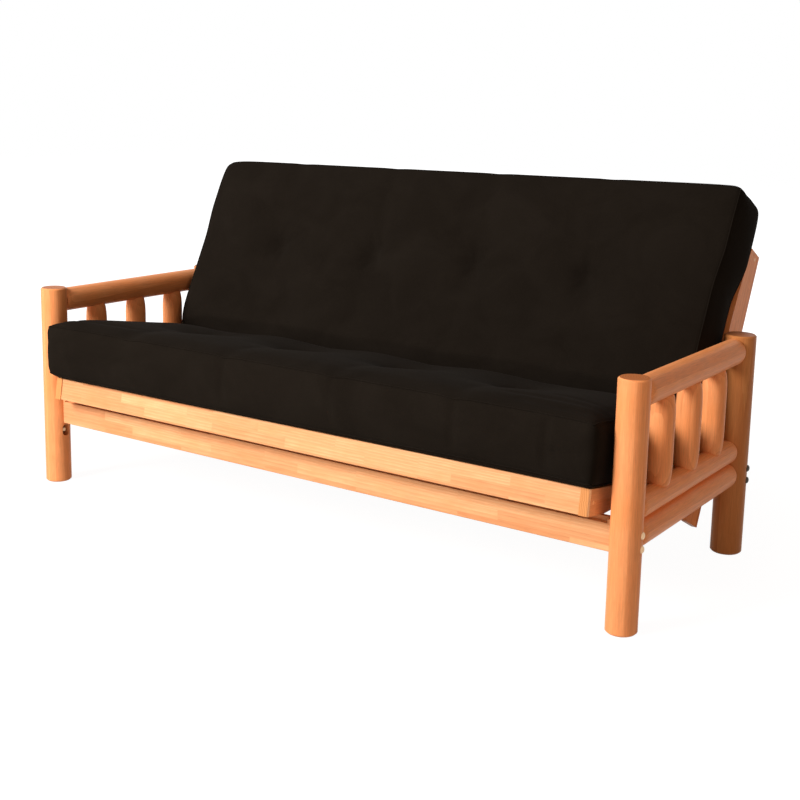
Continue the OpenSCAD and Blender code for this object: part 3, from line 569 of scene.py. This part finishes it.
# The roll beside the fold is highest between the columns and at 0.46 m, and dips at both ends
roll = np.exp(-((abs(s) - 130 * mm) / (70 * mm)) ** 2)
height = 5 + 14 * between + 9 * np.exp(-((x - 0.46) / 0.1) ** 2) - 28 * smooth((abs(x) - 0.58) / 0.14)
lift = top * roll * mm * height
inside = smooth((half_w - abs(x)) / 0.07) * smooth((s + front) / 0.07)
lift += plump * top * inside * smooth(-s / 0.2)
for x, s in tufts:
    dx, ds = flat[:, 0] - x, flat[:, 1] - s
    radius, turn = np.hypot(dx, ds), np.arctan2(ds, dx)
    phase = draw.uniform(0, 6.28)
    folds = np.cos(7 * turn + phase) + 0.6 * np.cos(4 * turn - 2 * phase)
    lift += pucker * folds * top * smooth(radius / (30 * mm)) * np.exp(-radius / (48 * mm))


def crease(start, end, depth, width):
    """Presses a straight crease into the cover between two points of the flat pad."""
    start, end = np.array(start) * mm, np.array(end) * mm
    line = end - start
    t = np.clip((flat - start) @ line / (line @ line), 0, 1)
    off = np.linalg.norm(flat - start - t[:, None] * line, axis=1)
    return -depth * mm * np.exp(-(off / (width * mm)) ** 2) * smooth(5 * np.minimum(t, 1 - t) + 0.3)


# Each crease runs between two points (x, distance behind the fold, height), with depth and width, mm
f = -front / mm
h = thick / mm
for start, end, depth, width in [
        ((832, f, 20), (832, f, h - 8), 5, 11), ((563, f, 24), (563, f, h), 4, 12),
        ((851, f, 77), (852, f, 79), 9, 13), ((851, f, 77), (940, f, 82), 3, 10),
        ((-560, f, 92), (-800, f, 84), 3, 11), ((-640, f, 60), (-900, f, 64), 3, 11),
        ((-218, f, 20), (-218, f, h), 3, 12), ((170, f, 22), (170, f, h), 3, 12),
        ((700, f + 60, h), (930, f + 40, h), 4, 11), ((640, f + 110, h), (930, f + 96, h), 4, 12),
        ((760, f + 170, h), (940, f + 150, h), 3, 12), ((-640, f + 90, h), (-930, f + 70, h), 4, 12)]:
    lift += crease(start, end, depth, width)
co += out * lift[:, None]
set_points(cover_mesh, co)

# %% [markdown]
# ## Bending the pad over the hinge
#
# The flat pad is now turned about the hinge line into the sofa's shape. A point well in front of
# the fold turns with the seat deck and one well behind it with the back deck. In between, a point
# turns by a share that grows smoothly across 80 mm, and each point's turn is found by bisection.

# %% Bend
blend_half = 40 * mm
middle_angle = (math.pi - seat_tilt + back_rise) / 2
up = np.array([math.cos(middle_angle), math.sin(middle_angle)])
across = np.array([up[1], -up[0]])


def bent(co):
    """Turns points (x, distance behind the hinge, height over it) of the flat pad into the sofa's shape."""
    radius, goal = np.hypot(co[:, 1], co[:, 2]), np.arctan2(co[:, 1], co[:, 2])
    low, high = goal - fold / 2, goal + fold / 2
    for _ in range(40):
        mid = (low + high) / 2
        share = smooth((radius * np.sin(mid) + blend_half) / (2 * blend_half))
        over = mid + (share - 0.5) * fold > goal
        low, high = np.where(over, low, mid), np.where(over, mid, high)
    flat_yz = radius[:, None] * (np.cos(low)[:, None] * up + np.sin(low)[:, None] * across)
    return np.column_stack([co[:, 0], hinge.y + flat_yz[:, 0], hinge.z + flat_yz[:, 1]])


co[:, 2] += deck
set_points(cover_mesh, bent(co))
cover_mesh.shade_smooth()

# %% [markdown]
# ## Sewn edges
#
# The cover's top, sides and underside are separate panels, sewn together along the box's edges.
# The seam stands up as a thin ridge, not quite 3 mm high, and it catches the light along the end
# of the back. It is a curve through the cover's own edge vertices with a round profile.

# %% Seams
bm = bmesh.new()
bm.from_mesh(cover_mesh)
bm.verts.ensure_lookup_table()
pad = bm.verts.layers.float_vector["pad"]
seam_curve = bpy.data.curves.new("mattress_seams", "CURVE")
seam_curve.dimensions = "3D"
seam_curve.bevel_depth = 2.2 * mm
seam_curve.bevel_resolution = 1
for height in (0, thick):
    edge = {v for v in bm.verts if abs(v[pad][2] - height) < SAME and on_side(*v[pad][:2])}
    step = min(edge, key=lambda v: v.index)
    path, seen = [], set()
    while step is not None:
        seen.add(step)
        path.append(step.co + step.normal * 0.6 * mm)
        step = next((e.other_vert(step) for e in step.link_edges
                     if e.other_vert(step) in edge and e.other_vert(step) not in seen), None)
    spline = seam_curve.splines.new("POLY")
    spline.points.add(len(path) - 1)
    spline.points.foreach_set("co", [c for p in path for c in (*p, 1)])
    spline.use_cyclic_u = True
    print(f"seam with {len(path)} points")
bm.free()
seam_guide = bpy.data.objects.new("seam_guide", seam_curve)
bpy.context.scene.collection.objects.link(seam_guide)
seam_mesh = bpy.data.meshes.new_from_object(
    seam_guide.evaluated_get(bpy.context.evaluated_depsgraph_get()))
bpy.data.objects.remove(seam_guide)
seams = bpy.data.objects.new("mattress_seams", seam_mesh)
bpy.context.scene.collection.objects.link(seams)
seam_mesh.shade_smooth()

# %% [markdown]
# ## Black microsuede
#
# Microsuede is a knit of very fine polyester whose short nap scatters light: almost no gloss, a
# faint sheen where it is seen along the surface, and paler or darker marks where the nap has been
# brushed one way or the other. The fuzz is a fine noise, drawn about 2 mm coarse so that it shows.

# %% Suede material
suede, tree, shader = material("black_microsuede")
place = add(tree, "TexCoord").outputs["Object"]
nap = noise(tree, place, 7, 4, 0.6, 0.6)
fuzz = noise(tree, place, 520, 3, 0.6)
brushed = ranged(tree, nap, (0.35, 0.68), (0, 1))
colour = mixed(tree, brushed, linear("#181512"), linear("#1C1916"))
colour = times(tree, colour, ranged(tree, fuzz, (0.3, 0.7), (0.8, 1.2)))
relief = add(tree, "Bump", {"Strength": 0.5, "Distance": 0.6 * mm, "Height": fuzz})
fill(tree, shader, {
    "Base Color": colour, "Roughness": ranged(tree, nap, (0, 1), (0.9, 1.0)),
    "Normal": relief.outputs[0], "Sheen Weight": 0.006, "Sheen Roughness": 0.5,
    "Specular IOR Level": 0.02})
for piece in (cover, seams):
    piece.data.materials.clear()
    piece.data.materials.append(suede)
    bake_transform(piece)
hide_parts("seat_mattress", "back_mattress")

# %% [markdown]
# ## Foam inside
#
# The filling lies inside the cover. It is cut foam with an open, fine-pored surface, in two blocks
# that part at the fold.

# %% Foam material
foam, tree, shader = material("cut_foam")
place = add(tree, "TexCoord").outputs["Object"]
pores = add(tree, "TexVoronoi", {"Vector": place, "Scale": 400}).outputs["Distance"]
relief = add(tree, "Bump", {"Strength": 0.6, "Distance": 1 * mm, "Height": pores})
fill(tree, shader, {
    "Base Color": mixed(tree, pores, linear("#CDBF98"), linear("#EFE6CB")),
    "Normal": relief.outputs[0], "Roughness": 0.95})
finish_nodes(foam, "seat_filling", "back_filling")

# %% [markdown]
# ## Floor and light
#
# The sofa stands on a plain white floor. A large soft light at the front left models the logs,
# a weaker one fills from the right, and the world adds an even glow. The floor and the world look
# white to the camera, and in reflections, without throwing more light on the sofa.

# %% Floor
bm = bmesh.new()
bmesh.ops.create_grid(bm, x_segments=1, y_segments=1, size=15)
floor_mesh = bpy.data.meshes.new("floor")
bm.to_mesh(floor_mesh)
bm.free()
floor = bpy.data.objects.new("floor", floor_mesh)
bpy.context.scene.collection.objects.link(floor)
paper, tree, shader = material("white_paper")
shader.inputs["Base Color"].default_value = linear("#C6C3BE")
shader.inputs["Roughness"].default_value = 0.9
ray = add(tree, "LightPath")
seen = add(tree, "Math", {0: ray.outputs["Is Camera Ray"], 1: ray.outputs["Is Glossy Ray"]},
           operation="MAXIMUM")
seen = add(tree, "Math", {0: seen.outputs[0], 1: ray.outputs["Is Transmission Ray"]},
           operation="MAXIMUM")
away = add(tree, "VectorMath", {0: add(tree, "TexCoord").outputs["Object"]}, operation="LENGTH")
away = ranged(tree, away.outputs["Value"], (1.0, 3.0), (0.8, 1.0), interpolation_type="SMOOTHSTEP")
seen = add(tree, "Math", {0: seen.outputs[0], 1: away}, operation="MULTIPLY")
glow = add(tree, "Emission", {"Color": (1, 1, 1, 1), "Strength": 1.2})
both = add(tree, "MixShader", {0: seen.outputs[0], 1: shader.outputs[0], 2: glow.outputs[0]})
tree.links.new(both.outputs[0], tree.nodes["Material Output"].inputs["Surface"])
floor_mesh.materials.append(paper)

# %% World and lamps
world = bpy.data.worlds.new("studio")
bpy.context.scene.world = world
world.use_nodes = True
tree = world.node_tree
sky = tree.nodes["Background"]
ray = add(tree, "LightPath")
seen = add(tree, "Math", {0: ray.outputs["Is Camera Ray"], 1: ray.outputs["Is Glossy Ray"]},
           operation="MAXIMUM")
seen = add(tree, "Math", {0: seen.outputs[0], 1: ray.outputs["Is Transmission Ray"]},
           operation="MAXIMUM")
fill(tree, sky, {
    "Strength": ranged(tree, seen.outputs[0], (0, 1), (0.25, 1.0)),
    "Color": mixed(tree, seen.outputs[0], linear("#FFDFC2"), (1, 1, 1, 1))})


def soft_light(name, place, aim, size, watts, tint):
    """A square area lamp that faces a point."""
    lamp = bpy.data.lights.new(name, "AREA")
    lamp.size = size
    lamp.energy = watts
    lamp.color = linear(tint)[:3]
    light = bpy.data.objects.new(name, lamp)
    light.location = place
    light.rotation_euler = (Vector(aim) - Vector(place)).to_track_quat("-Z", "Y").to_euler()
    bpy.context.scene.collection.objects.link(light)


soft_light("key", (-2.2, -5.0, 3.3), (0.1, 0, 0.4), 2.2, 490, "#FFF2E6")
soft_light("fill", (4.0, -2.2, 2.2), (0.2, 0, 0.4), 2.5, 17, "#FFCDA0")

# %% [markdown]
# ## Camera
#
# The picture is taken from the right front, a little above the back's height, with a short
# telephoto lens. The small shift keeps the sofa where it stands in the picture.

# %% Camera
yaw, pitch, roll = math.radians(33.25), math.radians(10.53), math.radians(1.436)
ahead = Vector((-math.sin(yaw) * math.cos(pitch), math.cos(yaw) * math.cos(pitch), -math.sin(pitch)))
right = Vector((math.cos(yaw), math.sin(yaw), 0))
upward = right.cross(ahead)
right, upward = (right * math.cos(roll) + upward * math.sin(roll),
                 upward * math.cos(roll) - right * math.sin(roll))
lens = bpy.data.cameras.new("camera")
lens.lens = 57.934
lens.shift_x, lens.shift_y = -0.03524, -0.0917
camera = bpy.data.objects.new("camera", lens)
turned = Matrix((right, upward, -ahead)).transposed().to_4x4()
camera.matrix_world = Matrix.Translation((2.2399, -3.20807, 1.3042)) @ turned
bpy.context.scene.collection.objects.link(camera)
bpy.context.scene.camera = camera
bpy.context.scene.view_settings.view_transform = "Standard"
